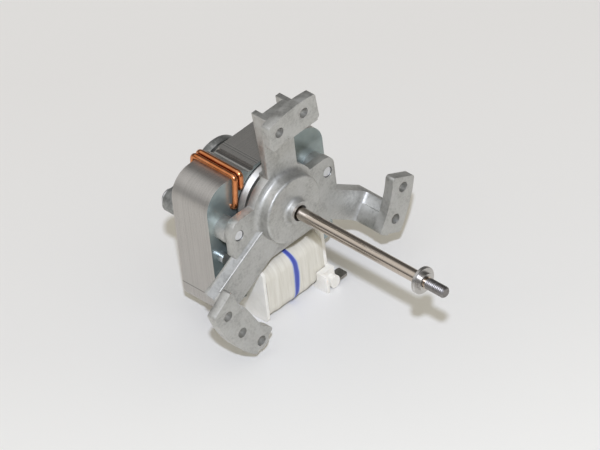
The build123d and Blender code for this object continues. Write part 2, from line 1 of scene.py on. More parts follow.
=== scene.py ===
# Looks of an open shaded pole fan motor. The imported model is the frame: this script gives
# each piece its finish and adds the sheet stacks, the thread, the tape and small details.
import math

import bmesh
import bpy
from mathutils import Matrix, Vector


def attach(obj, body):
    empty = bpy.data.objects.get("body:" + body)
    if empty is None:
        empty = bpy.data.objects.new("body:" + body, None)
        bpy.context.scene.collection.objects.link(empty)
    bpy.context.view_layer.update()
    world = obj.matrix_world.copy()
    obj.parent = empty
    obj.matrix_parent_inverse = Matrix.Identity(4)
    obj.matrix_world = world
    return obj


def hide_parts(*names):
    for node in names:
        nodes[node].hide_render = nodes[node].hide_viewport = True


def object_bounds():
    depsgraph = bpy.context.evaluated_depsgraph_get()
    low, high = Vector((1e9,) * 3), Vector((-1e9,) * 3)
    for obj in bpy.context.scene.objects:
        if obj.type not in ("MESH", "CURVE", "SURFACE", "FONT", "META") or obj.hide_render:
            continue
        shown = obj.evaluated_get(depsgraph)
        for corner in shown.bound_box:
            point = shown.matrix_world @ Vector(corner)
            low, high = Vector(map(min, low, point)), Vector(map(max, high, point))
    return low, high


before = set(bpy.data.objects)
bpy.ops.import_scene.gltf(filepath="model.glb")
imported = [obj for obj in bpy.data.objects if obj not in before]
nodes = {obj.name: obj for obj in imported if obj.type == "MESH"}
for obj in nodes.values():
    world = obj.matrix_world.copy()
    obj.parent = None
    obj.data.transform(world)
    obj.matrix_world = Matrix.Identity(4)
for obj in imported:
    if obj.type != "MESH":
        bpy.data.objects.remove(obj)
cad_box = [list(corner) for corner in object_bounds()]

MM = 0.001
SEED = 7

# Sizes repeated from the solids, in millimetres
CORE_FRONT, CORE_BACK = 23.3, 41.8
CORE_MIDDLE, BAR_MIDDLE, SEAM = 32.55, -34.4, -30.7
SHAFT_RADIUS = 2.5
SHAFT_REAR, SHAFT_STEP, SHAFT_TIP = 56.8, -59.6, -69.3
NECK_RADIUS, NECK_END = 1.95, -60.4
THREAD_RADIUS, TIP_CHAMFER = 2.3, 0.6
COIL_HALF = 14.9
COIL_FRONT, COIL_LOW, COIL_ROUND = 12.6, -45.6, 5.0

# Sheets of the stack: pitch from one to the next, air between two, and how far each slips
SHEET, SHEET_GAP, SHEET_SLIP = 0.5, 0.012, 0.012

# Painted shade and highlights on top of the stack lie above TOP_LOW. Their places are shares of the
# way from TOP_START to the middle of the shaft: first a step in painted shade with a painted highlight
# at its foot, then a groove drawn in painted shade and painted highlights. A little painted light lies
# over the rest of the top.
TOP_LOW, TOP_START = 15.4, -8.0
STEP_AND_GROOVE_SHADE = [
    (0.19, 1.0), (0.21, 0.42), (0.36, 0.37), (0.385, 1.0),
    (0.61, 1.0), (0.63, 0.55), (0.66, 0.55), (0.68, 1.0),
    (0.74, 1.0), (0.76, 0.55), (0.79, 0.55), (0.81, 1.0),
]
PAINTED_TOP_HIGHLIGHTS = [
    (0.08, 0.0), (0.1, 1.0), (0.17, 1.0), (0.19, 0.0), (0.36, 0.0), (0.385, 0.2),
    (0.67, 0.2), (0.69, 0.7), (0.71, 0.2), (0.80, 0.2), (0.82, 0.7), (0.84, 0.2),
]
# Shade by distance from the seam, in millimetres
SEAM_SHADE = [(0.1, 0.42), (0.3, 1.0)]

# Thread, less deep than a full one, and its corners round and along the rod
THREAD_PITCH, THREAD_DEPTH = 0.8, 0.28
THREAD_AROUND, THREAD_ALONG = 64, 260

# Left arm: its angle in degrees, its sloped flank, and the ridge between flank and face
LEFT_ARM, FLANK_SLOPE = 208.0, 42.7
FLANK_LIKENESS, FLANK_MATT = 0.965, 0.78
RIDGE_SIDE, RIDGE_DEPTH = -2.4, 13.4
RIDGE_START, RIDGE_END, RIDGE_RADIUS = 12.5, 41.0, 0.5
BEAD_AROUND, BEAD_ALONG = 20, 12

# End rings of the rotor cage: rim, foot and top, and how far the taper of the casting die goes
RING_OUTER, RING_FOOT, RING_TOP = 15.0, 1.0, 2.35
TAPER_IN, TAPER_DOWN = 0.8, 1.7

# Rounding of cast and moulded edges in millimetres, and angles in degrees: below FLAT_ANGLE two
# faces are one, above EDGE_ANGLE an edge is rounded, above the others it is shaded sharp
FRONT_ROUNDING, REAR_ROUNDING, BOBBIN_ROUNDING = 0.35, 0.4, 0.2
ROUNDING_STEPS = 2
FLAT_ANGLE, EDGE_ANGLE, CAST_SHARP, CAGE_SHARP, TURNED_SHARP = 0.6, 34, 28, 24, 30
TURNED_AROUND = 96

# In millimetres: corners of a copied mesh closer than the first two are made one, and faces
# within the third of the front plane belong to the front sheet
MERGE, SHEET_MERGE, SHEET_PLANE = 0.0005, 0.001, 0.01
# A face looks to the front where the Y of its normal is no more than this
FACES_FRONT = -0.99

# Tape: how far it stands out, its crown, (pitch, depth) of its creases and how they wander
TAPE_RISE, TAPE_CROWN = 0.25, 0.35
CREASES = ((7.1, 0.09), (3.7, 0.05), (1.9, 0.015))
CREASE_WANDER, WANDER_LENGTH = 0.8, 9
# Steps across the tape, across the line and round a bend, and the least step along the tape
# in millimetres where a straight is divided
TAPE_ACROSS, STRIPE_ACROSS, BEND_STEPS, TAPE_SPACING = 120, 16, 14, 1.2

# Marking line: side of the coil, thickness, and bow and width by height up the coil
STRIPE_SIDE, STRIPE_THICK = -0.6, 0.12
STRIPE_BOW = (0.75, 0.43, -1.52)
STRIPE_WIDTHS = (3.4, 0.18, -1.3)

# Patterns, in spots per millimetre. Clouds are 6 mm wide where the metal flowed, 14 mm in the
# oxide and 4 mm in the nylon; creases are 1.1 by 14 mm and ink drags 0.7 by 6 mm.
FLOW_CLOUDS = 0.16
# Real grit of a few tenths of a millimetre is too fine to show, so it is drawn 1.1 mm wide
CAST_GRIT = 0.9
OXIDE_CLOUDS = 0.07
# Punching streaks a tenth of a millimetre apart don't show, so they are drawn 2 to 3 mm apart
PUNCH_STREAKS = (0.5, 0.3, 0.06)
# Rolled sheet has a grain of some hundredths of a millimetre, drawn 0.6 mm wide to show at all
ROLLED_GRAIN = 1.6
# Turning marks are some hundredths of a millimetre apart and are drawn 0.2 mm apart
TURNING_MARKS = (0.05, 5.0, 0.05)
NYLON_CLOUDS = 0.25
TAPE_CREASES, TAPE_CREASE_WAY = 0.9, (1.0, 0.08, 0.08)
INK_DRAGS, INK_DRAG_WAY = 1.4, (1.0, 0.12, 0.12)
# Wool fibres are 0.03 mm thick, too fine to show, and are drawn 0.3 mm thick
WOOL_FIBRES = 3.0

# Sockets of a mix node: the share of the second, two numbers, two colours
SHARE, FIRST, SECOND, FIRST_COLOUR, SECOND_COLOUR = 0, 2, 3, 6, 7

# Table, in metres: painted light makes it paler toward the camera
TABLE_LEVEL, TABLE_REACH = cad_box[0][2], 3.0
TABLE_LIGHT_WAY, TABLE_LIGHT_START = (-1.64, -1.89, 0.0), 0.5

# Light: a warm tent, a screen that only metal and gloss mirror, and one far lamp
TENT_COLOUR, TENT_STRENGTH = (1.0, 0.95, 0.82, 1.0), 0.6
SCREEN_WAY, SCREEN_STRENGTH = (-0.45, 0.0, 0.89), 0.92
SCREEN_TONES = [(0.0, 0.14), (0.42, 0.12), (0.60, 0.30), (0.76, 1.0)]
LAMP_WAY, LAMP_COLOUR = (-26.6, -32.0, 46.2), (0.78, 0.84, 1.0)
LAMP_STRENGTH, LAMP_WIDTH = 2.2, 2.5

# Camera: picture width in pixels, sensor in millimetres, and farthest sight in metres
PICTURE_WIDTH, SENSOR, FAR_SIGHT = 600, 36.0, 50


# Materials

def paint(text):
    """Linear colour from an sRGB hex value."""
    values = [int(text[i : i + 2], 16) / 255 for i in (1, 3, 5)]
    linear = [v / 12.92 if v <= 0.04045 else ((v + 0.055) / 1.055) ** 2.4 for v in values]
    return (*linear, 1.0)


def feed(tree, node, inputs):
    """Sets inputs to values, or links them to a socket or to the output in use of a node."""
    for key, value in inputs.items():
        if isinstance(value, bpy.types.Node):
            value = next(way for way in value.outputs if way.enabled)
        if isinstance(value, bpy.types.NodeSocket):
            tree.links.new(value, node.inputs[key])
        else:
            node.inputs[key].default_value = value


def add(tree, kind, inputs=None, stops=(), **settings):
    """One node: settings are its own fields, stops are (place, tone) where it has a ramp."""
    made = tree.nodes.new(kind)
    for field, value in settings.items():
        setattr(made, field, value)
    feed(tree, made, inputs or {})
    if stops:
        band = made.color_ramp.elements
        while len(band) < len(stops):
            band.new(0.5)
        for element, (place, tone) in zip(band, stops):
            element.position = place
            element.color = paint(tone) if isinstance(tone, str) else (tone, tone, tone, 1)
    return made


def material(name, **shader_values):
    """A material with one principled shader; names like Base_Color stand for its sockets."""
    made = bpy.data.materials.new(name)
    made.use_nodes = True
    shader = made.node_tree.nodes["Principled BSDF"]
    values = {key.replace("_", " "): value for key, value in shader_values.items()}
    feed(made.node_tree, shader, values)
    return made, made.node_tree, shader


def object_place(tree, stretch=(1, 1, 1)):
    """Object coordinates in millimetres, stretched along an axis where a pattern is drawn out."""
    coords = add(tree, "ShaderNodeTexCoord")
    scale = tuple(s / MM for s in stretch)
    return add(tree, "ShaderNodeMapping", {0: coords.outputs["Object"], "Scale": scale})


def across_arm(angle, side, front):
    """Direction from an arm: so much sideways against the clock and so much to the front."""
    a = math.radians(angle)
    return Vector((-math.sin(a) * side, -front, math.cos(a) * side))


def flank_way():
    """Direction that the sloped flank of the left arm looks in."""
    slope = math.radians(FLANK_SLOPE)
    return across_arm(LEFT_ARM, -math.sin(slope), math.cos(slope))


def cast_aluminium(name, light, dark):
    """Aluminium cast in a steel die and left raw: a matt skin with flow clouds and grit."""
    made, tree, shader = material(name, Metallic=0.92)
    place = object_place(tree)
    flow = {0: place, "Scale": FLOW_CLOUDS, "Detail": 5, "Roughness": 0.6, "Distortion": 0.6}
    clouds = add(tree, "ShaderNodeTexNoise", flow)
    fine = {0: place, "Scale": CAST_GRIT, "Detail": 4, "Roughness": 0.65}
    grit = add(tree, "ShaderNodeTexNoise", fine)
    blend = add(tree, "ShaderNodeMix", {SHARE: 0.45, FIRST: clouds, SECOND: grit})
    skin_tones = [(0.3, dark), (0.5, light), (0.72, "#D2D1CD")]
    skin = add(tree, "ShaderNodeValToRGB", {0: blend}, skin_tones)
    matt = add(tree, "ShaderNodeValToRGB", {0: clouds}, [(0.3, 0.44), (0.7, 0.58)])
    # The sloped flank of the left arm is duller than the rest
    coords = add(tree, "ShaderNodeTexCoord")
    two_ways = {0: coords.outputs["Normal"], 1: flank_way()}
    likeness = add(tree, "ShaderNodeVectorMath", two_ways, operation="DOT_PRODUCT")
    on_flank = add(tree, "ShaderNodeMath", {0: likeness, 1: FLANK_LIKENESS}, operation="GREATER_THAN")
    skin_matt = add(tree, "ShaderNodeMix", {SHARE: on_flank, FIRST: matt, SECOND: FLANK_MATT})
    relief = add(tree, "ShaderNodeBump", {"Height": grit, "Distance": 0.08 * MM, "Strength": 0.6})
    feed(tree, shader, {"Base Color": skin, "Roughness": skin_matt, "Normal": relief})
    return made


def painted_light_on_top(tree, colour, height, facing):
    """Painted shade in the step and the groove on top of the stack, and painted highlights on their
    edges.
    """
    from_start = {0: height.outputs[0], 1: TOP_START}
    way = add(tree, "ShaderNodeMath", from_start, operation="SUBTRACT")
    share = add(tree, "ShaderNodeMath", {0: way, 1: -TOP_START}, operation="DIVIDE")
    above = {0: height.outputs[2], 1: TOP_LOW}
    on_top = add(tree, "ShaderNodeMath", above, operation="GREATER_THAN")
    edge_on_top = add(tree, "ShaderNodeMath", {0: on_top, 1: facing}, operation="GREATER_THAN")
    # Painted shade: the step and the groove are darkened on the top edges of the sheets
    shade = add(tree, "ShaderNodeValToRGB", {0: share}, STEP_AND_GROOVE_SHADE)
    tones = {SHARE: edge_on_top, FIRST_COLOUR: colour, SECOND_COLOUR: shade}
    shaded = add(tree, "ShaderNodeMix", tones, data_type="RGBA", blend_type="MULTIPLY")
    # Painted highlights at the foot of the step and beside the groove, and a little painted light over
    # the rest of the top
    painted_highlight = add(tree, "ShaderNodeValToRGB", {0: share}, PAINTED_TOP_HIGHLIGHTS)
    bright = add(tree, "ShaderNodeMath", {0: painted_highlight, 1: edge_on_top}, operation="MULTIPLY")
    tones = {SHARE: bright, FIRST_COLOUR: shaded, SECOND_COLOUR: paint("#F2F1EC")}
    return add(tree, "ShaderNodeMix", tones, data_type="RGBA")


def stacked_sheets(name, face_dark, face_light, edge_dark, edge_light):
    """Punched electrical sheets: glossy faces with clouds of oxide, and bare satin cut edges
    where every sheet has its own tone."""
    made, tree, shader = material(name, Metallic=1.0)
    coords = add(tree, "ShaderNodeTexCoord")
    turned_to = add(tree, "ShaderNodeSeparateXYZ", {0: coords.outputs["Normal"]})
    along_shaft = add(tree, "ShaderNodeMath", {0: turned_to.outputs[1]}, operation="ABSOLUTE")
    facing = add(tree, "ShaderNodeMath", {0: along_shaft, 1: 0.9}, operation="GREATER_THAN")
    place = object_place(tree)
    clouds = add(tree, "ShaderNodeTexNoise", {0: place, "Scale": OXIDE_CLOUDS, "Detail": 3})
    face_tones = [(0.35, face_dark), (0.65, face_light)]
    face = add(tree, "ShaderNodeValToRGB", {0: clouds}, face_tones)
    tone = add(tree, "ShaderNodeAttribute", attribute_name="sheet_tone")
    drawn = object_place(tree, PUNCH_STREAKS)
    streaks = add(tree, "ShaderNodeTexNoise", {0: drawn, "Scale": 1.0, "Detail": 4})
    layers = {SHARE: 0.55, FIRST: tone.outputs["Fac"], SECOND: streaks}
    layered = add(tree, "ShaderNodeMix", layers)
    edge = add(tree, "ShaderNodeValToRGB", {0: layered}, [(0.2, edge_dark), (0.8, edge_light)])
    sides = {SHARE: facing, FIRST_COLOUR: edge, SECOND_COLOUR: face}
    colour = add(tree, "ShaderNodeMix", sides, data_type="RGBA")
    # The joint between core and yoke bar shows as a thin dark line
    height = add(tree, "ShaderNodeSeparateXYZ", {0: place})
    off_seam = add(tree, "ShaderNodeMath", {0: height.outputs[2], 1: SEAM}, operation="SUBTRACT")
    seam_way = add(tree, "ShaderNodeMath", {0: off_seam}, operation="ABSOLUTE")
    seam = add(tree, "ShaderNodeValToRGB", {0: seam_way}, SEAM_SHADE)
    joint = {SHARE: 1.0, FIRST_COLOUR: colour, SECOND_COLOUR: seam}
    jointed = add(tree, "ShaderNodeMix", joint, data_type="RGBA", blend_type="MULTIPLY")
    finished = painted_light_on_top(tree, jointed, height, facing)
    oxide = add(tree, "ShaderNodeMix", {SHARE: facing, FIRST: 1.0, SECOND: 0.62})
    gloss = add(tree, "ShaderNodeMix", {SHARE: facing, FIRST: 0.42, SECOND: 0.27})
    grain = add(tree, "ShaderNodeTexNoise", {0: place, "Scale": ROLLED_GRAIN, "Detail": 3})
    relief = add(tree, "ShaderNodeBump", {"Height": grain, "Distance": 0.02 * MM, "Strength": 0.4})
    feed(tree, shader, {"Base Color": finished, "Metallic": oxide, "Roughness": gloss, "Normal": relief})
    return made


def ground_steel(name, dark, light, roughness, groove):
    """Turned or ground steel: bright, with marks round the axis of a depth in millimetres."""
    made, tree, shader = material(name, Metallic=1.0)
    place = object_place(tree, TURNING_MARKS)
    marks = add(tree, "ShaderNodeTexNoise", {0: place, "Scale": 1.0, "Detail": 3})
    tint = add(tree, "ShaderNodeValToRGB", {0: marks}, [(0.3, dark), (0.7, light)])
    sheens = [(0.3, roughness), (0.7, roughness * 1.4)]
    sheen = add(tree, "ShaderNodeValToRGB", {0: marks}, sheens)
    relief = add(tree, "ShaderNodeBump", {"Height": marks, "Distance": groove * MM, "Strength": 0.6})
    feed(tree, shader, {"Base Color": tint, "Roughness": sheen, "Normal": relief})
    return made


def plain_metal(name, dark, light, roughness, stain_size):
    """Metal with a faintly uneven surface, in stains of a size in millimetres."""
    made, tree, shader = material(name, Metallic=1.0)
    place = object_place(tree)
    stain = add(tree, "ShaderNodeTexNoise", {0: place, "Scale": 1 / stain_size, "Detail": 4})
    tint = add(tree, "ShaderNodeValToRGB", {0: stain}, [(0.3, dark), (0.7, light)])
    sheens = [(0.3, roughness * 0.8), (0.7, roughness * 1.2)]
    sheen = add(tree, "ShaderNodeValToRGB", {0: stain}, sheens)
    relief = add(tree, "ShaderNodeBump", {"Height": stain, "Distance": 0.01 * MM, "Strength": 0.5})
    feed(tree, shader, {"Base Color": tint, "Roughness": sheen, "Normal": relief})
    return made


def moulded_nylon(name, dark, light):
    """Moulded nylon: half matt, clouded in spots of 4 mm, and light goes a little into it."""
    made, tree, shader = material(
        name,
        Roughness=0.42,
        IOR=1.53,
        Subsurface_Weight=0.15,
        Subsurface_Scale=0.6 * MM,
        Subsurface_Radius=(1.0, 0.95, 0.85),
    )
    place = object_place(tree)
    clouds = add(tree, "ShaderNodeTexNoise", {0: place, "Scale": NYLON_CLOUDS, "Detail": 3})
    tint = add(tree, "ShaderNodeValToRGB", {0: clouds}, [(0.3, dark), (0.7, light)])
    relief = add(tree, "ShaderNodeBump", {"Height": clouds, "Distance": 0.04 * MM, "Strength": 0.4})
    feed(tree, shader, {"Base Color": tint, "Normal": relief})
    return made


def wound_tape(name, dark, light):
    """Polyester coil tape: creased in lines of 1 by 14 mm where it is pulled round the coil."""
    made, tree, shader = material(name, Roughness=0.55, IOR=1.5)
    place = object_place(tree, TAPE_CREASE_WAY)
    pulled = {0: place, "Scale": TAPE_CREASES, "Detail": 4, "Roughness": 0.55}
    creases = add(tree, "ShaderNodeTexNoise", pulled)
    # Painted shade: the tape is darker where its creases sink in
    tint = add(tree, "ShaderNodeValToRGB", {0: creases}, [(0.32, dark), (0.6, light)])
    relief = add(tree, "ShaderNodeBump", {"Height": creases, "Distance": 0.08 * MM, "Strength": 0.5})
    feed(tree, shader, {"Base Color": tint, "Normal": relief})
    return made


def marking_ink(name):
    """Ink drawn on the tape: its edges are ragged where the pen drags, in lines 0.7 mm wide."""
    made, tree, shader = material(name, Roughness=0.5, IOR=1.5)
    across = add(tree, "ShaderNodeAttribute", attribute_name="across")
    place = object_place(tree, INK_DRAG_WAY)
    drag = add(tree, "ShaderNodeTexNoise", {0: place, "Scale": INK_DRAGS, "Detail": 3})
    ragged = add(tree, "ShaderNodeMath", {0: drag, 1: 0.35}, operation="MULTIPLY")
    thinned = add(tree, "ShaderNodeMath", {0: across.outputs["Fac"], 1: ragged}, operation="ADD")
    blues = [(0.45, "#4351AC"), (0.8, "#5F6FBE"), (1.0, "#A3ADD3"), (1.0, "#C4C8D6")]
    ink = add(tree, "ShaderNodeValToRGB", {0: thinned}, blues)
    feed(tree, shader, {"Base Color": ink})
    return made


def wool_felt(name, dark, light):
    """Wool felt: dull and fibrous."""
    made, tree, shader = material(name, Roughness=0.95)
    place = object_place(tree)
    matted = {0: place, "Scale": WOOL_FIBRES, "Detail": 5, "Distortion": 1.5}
    fibres = add(tree, "ShaderNodeTexNoise", matted)
    tint = add(tree, "ShaderNodeValToRGB", {0: fibres}, [(0.3, dark), (0.7, light)])
    relief = add(tree, "ShaderNodeBump", {"Height": fibres, "Distance": 0.15 * MM, "Strength": 0.8})
    feed(tree, shader, {"Base Color": tint, "Normal": relief})
    return made


# Raw from the die: a matt silver grey skin, softly clouded where the metal flowed
aluminium_cast = cast_aluminium("die cast aluminium, front bracket", "#C4C3BE", "#A09F9B")
# Cast the same way, in a darker grey that is painted shade for its place behind the core
aluminium_rear_shaded = cast_aluminium("die cast aluminium, rear bracket", "#9A9B98", "#7A7B78")
# Cast onto the rotor: a warmer, paler grey that lights up on the tapered rings
aluminium_cage = cast_aluminium("pressure cast aluminium, rotor cage", "#C9C5BD", "#B2AFA8")
# Steam leaves a glossy blue green oxide on the faces; the punched edges are a warm bare grey
blued_sheets = stacked_sheets(
    "steam blued electrical sheet, stacked", "#909D9D", "#B6C0BC", "#B9B5B0", "#C4C0BB"
)
# The rotor's sheets are a good deal darker than the core's: painted shade, for the rotor lies deep in
# the bore
rotor_sheets_shaded = stacked_sheets(
    "electrical sheet, rotor stack", "#50575A", "#70777A", "#5A5A58", "#8C8A86"
)
# Ground bright: a slightly warm mirror that draws lights out along the shaft
shaft_steel = ground_steel("ground stainless steel, shaft", "#BFB2A5", "#CEC3B7", 0.13, 0.0012)
# Rolled: darker and duller than the ground shaft beside it
thread_steel = plain_metal("rolled steel thread", "#7F7B78", "#95918E", 0.42, 1.0)
# Zinc plating is pale, and blurs what it mirrors
zinc_steel = plain_metal("zinc plated steel", "#DADBDC", "#EFEFF0", 0.4, 1.5)
# Turned and not ground: it mirrors less clearly than the shaft
collar_steel = ground_steel("turned steel, collar", "#B5B2AE", "#CFCCC8", 0.25, 0.004)
# Drawn copper without enamel: warm orange, with small bright lights on its bends
bare_copper = plain_metal("bare copper wire, shading ring", "#C97A48", "#DD9568", 0.24, 3.0)
# Porous and soaked with oil: a dull dark gold. Its pores are too fine to show, so their stains
# are drawn 0.5 mm wide.
bronze = plain_metal("sintered bronze, oiled", "#7A6440", "#94794C", 0.45, 0.5)
# Tin over brass is a dull grey with a soft sheen
tinned_brass = plain_metal("tinned brass, terminal tab", "#8F8B85", "#ABA7A0", 0.45, 1.0)
# Milky white, with soft edges because light goes into it
nylon = moulded_nylon("moulded nylon, bobbin", "#E8E5DD", "#F3F0E9")
# The same nylon, greyed by oil
washer_nylon = moulded_nylon("moulded nylon, thrust washer", "#C9C7BE", "#DCDAD2")
# Cream with a silky sheen, with painted shade in its creases
coil_tape = wound_tape("polyester coil tape, cream", "#D2CDC0", "#DDD9CD")
# Full blue in the middle of the line, thin and pale at both edges
blue_ink = marking_ink("marking ink on the tape, blue")
# Oil turns the wool a dull yellow brown, with no lights on it
oiled_felt = wool_felt("oil soaked wool felt", "#8C7A55", "#B7A67E")

finishes = {
    "front_bracket": aluminium_cast,
    "rear_bracket": aluminium_rear_shaded,
    "stator_core": blued_sheets,
    "yoke_bar": blued_sheets,
    "core_rivets": zinc_steel,
    "shading_ring_upper_outer": bare_copper,
    "shading_ring_upper_inner": bare_copper,
    "shading_ring_lower_outer": bare_copper,
    "shading_ring_lower_inner": bare_copper,
    "rotor_core": rotor_sheets_shaded,
    "rotor_cage": aluminium_cage,
    "shaft": shaft_steel,
    "shaft_collar": collar_steel,
    "front_bush": bronze,
    "rear_bush": bronze,
    "front_oil_felt": oiled_felt,
    "rear_oil_felt": oiled_felt,
    "front_retainer": zinc_steel,
    "rear_retainer": zinc_steel,
    "front_thrust_washer": washer_nylon,
    "rear_thrust_washer": washer_nylon,
    "bracket_screws": zinc_steel,
    "bobbin": nylon,
    "winding": bare_copper,
    "tape_wrap": coil_tape,
    "marking_band": blue_ink,
    "front_terminal_tab": tinned_brass,
    "rear_terminal_tab": tinned_brass,
}
for name, finish in finishes.items():
    nodes[name].data.materials.clear()
    nodes[name].data.materials.append(finish)


# Making a piece

def new_piece(name, mesh, finish=None):
    """An object at the origin with its place in its mesh."""
    piece = bpy.data.objects.new(name, mesh)
    bpy.context.scene.collection.objects.link(piece)
    if finish:
        mesh.materials.clear()
        mesh.materials.append(finish)
    return piece


def merged_copy(node, reach):
    """A copy of a node's mesh, and its form with corners closer than the reach made one."""
    mesh = nodes[node].data.copy()
    form = bmesh.new()
    form.from_mesh(mesh)
    bmesh.ops.remove_doubles(form, verts=form.verts, dist=reach * MM)
    return mesh, form


def put_in(form, mesh):
    """The mesh, with the finished form in it."""
    form.to_mesh(mesh)
    form.free()
    return mesh


def smooth(mesh, sharp):
    """Smooth shading, up to edges sharper than an angle in degrees."""
    for face in mesh.polygons:
        face.use_smooth = True
    mesh.set_sharp_from_angle(angle=math.radians(sharp))


def plain_mesh(name, worked):
    """The mesh that an object's modifier makes; the object and its modifier go."""
    bpy.context.view_layer.update()
    shown = worked.evaluated_get(bpy.context.evaluated_depsgraph_get())
    mesh = bpy.data.meshes.new_from_object(shown)
    bpy.data.objects.remove(worked)
    mesh.name = name
    return mesh


def node_tree(name, *sockets):
    """A geometry tree with a mesh in, a mesh out and named size inputs."""
    tree = bpy.data.node_groups.new(name, "GeometryNodeTree")
    tree.interface.new_socket("Geometry", in_out="INPUT", socket_type="NodeSocketGeometry")
    for label, kind, value in sockets:
        made = tree.interface.new_socket(label, in_out="INPUT", socket_type=kind)
        made.default_value = value
    tree.interface.new_socket("Geometry", in_out="OUTPUT", socket_type="NodeSocketGeometry")
    return tree, add(tree, "NodeGroupInput"), add(tree, "NodeGroupOutput")


def grown(name, start_mesh, tree, finish):
    """Runs a geometry tree on a mesh and returns the result as a plain mesh piece."""
    seedling = new_piece(name + "_seed", start_mesh)
    seedling.modifiers.new("grow", "NODES").node_group = tree
    return new_piece(name, plain_mesh(name, seedling), finish)


# Castings and moulding

def eased(name, node, width):
    """A copy of a stator node whose sharp edges get the small rounding of a mould."""
    mesh, form = merged_copy(node, MERGE)
    flat = math.radians(FLAT_ANGLE)
    bmesh.ops.dissolve_limit(form, angle_limit=flat, verts=form.verts, edges=form.edges)
    copy = new_piece(name, put_in(form, mesh))
    rounding = copy.modifiers.new("rounding", "BEVEL")
    rounding.width = width * MM
    rounding.segments = ROUNDING_STEPS
    rounding.limit_method = "ANGLE"
    rounding.angle_limit = math.radians(EDGE_ANGLE)
    rounding.use_clamp_overlap = True
    rounding.miter_outer = "MITER_ARC"
    result = plain_mesh(name, copy)
    smooth(result, CAST_SHARP)
    piece = new_piece(name, result, finishes[node])
    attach(piece, "stator")
    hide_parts(node)


def drafted_cage(name):
    """The rotor's cage with the tapered sides that its casting die leaves on both end rings."""
    mesh, form = merged_copy("rotor_cage", MERGE)
    for corner in form.verts:
        radius = math.hypot(corner.co.x, corner.co.z) / MM
        depth = corner.co.y / MM
        stands_out = max(CORE_FRONT - depth, depth - CORE_BACK)
        if radius < RING_OUTER or stands_out < RING_FOOT:
            continue
        if stands_out > RING_TOP:
            corner.co.x *= (radius - TAPER_IN) / radius
            corner.co.z *= (radius - TAPER_IN) / radius
        else:
            corner.co.y += TAPER_DOWN * MM * (1 if depth < CORE_FRONT else -1)
    form.normal_update()
    put_in(form, mesh)
    if mesh.has_custom_normals:
        mesh.attributes.remove(mesh.attributes["custom_normal"])
    smooth(mesh, CAGE_SHARP)
    mesh.name = name
    return new_piece(name, mesh, aluminium_cage)


def on_left_arm(reach):
    """Point of the ridge between the flank and the face of the left arm."""
    a = math.radians(LEFT_ARM)
    along = Vector((math.cos(a) * reach, RIDGE_DEPTH, math.sin(a) * reach))
    return along + across_arm(LEFT_ARM, RIDGE_SIDE, 0)


def in_order(parts, place):
    """Puts the corners or faces of a form in the order of their places."""
    for i, part in enumerate(sorted(parts, key=place)):
        part.index = i
    parts.sort()


def bead(name, start, end, radius, finish):
    """A round ended bead between two points, in millimetres."""
    form = bmesh.new()
    bmesh.ops.create_uvsphere(
        form, u_segments=BEAD_AROUND, v_segments=BEAD_ALONG, radius=radius * MM
    )
    way = (end - start) * MM
    for corner in form.verts:
        if corner.co.z > 0:
            corner.co.z += way.length
    turn = way.to_track_quat("Z", "Y").to_matrix()
    bmesh.ops.rotate(form, verts=form.verts, matrix=turn)
    bmesh.ops.translate(form, verts=form.verts, vec=start * MM)
    # The sphere's faces come in another order each run, so they are put in one order
    in_order(form.verts, lambda corner: tuple(corner.co))
    in_order(form.faces, lambda face: tuple(face.calc_center_median()))
    for face in form.faces:
        face.smooth = True
    return new_piece(name, put_in(form, bpy.data.meshes.new(name)), finish)


eased("front_casting", "front_bracket", FRONT_ROUNDING)
eased("rear_casting", "rear_bracket", REAR_ROUNDING)
eased("bobbin_moulding", "bobbin", BOBBIN_ROUNDING)

cage = drafted_cage("rotor_cage_casting")
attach(cage, "rotor")
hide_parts("rotor_cage")

ridge_ends = on_left_arm(RIDGE_START), on_left_arm(RIDGE_END)
ridge = bead("left_arm_ridge", *ridge_ends, RIDGE_RADIUS, aluminium_cast)
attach(ridge, "stator")


# Sheet stacks

def front_sheet(node, depth):
    """The outline of a stack's first sheet: the faces of the node that look to the front."""
    mesh, form = merged_copy(node, SHEET_MERGE)
    form.normal_update()
    away = []
    for face in form.faces:
        off_plane = abs(face.calc_center_median().y - depth * MM)
        if face.normal.y > FACES_FRONT or off_plane > SHEET_PLANE * MM:
            away.append(face)
    bmesh.ops.delete(form, geom=away, context="FACES")
    return put_in(form, mesh)


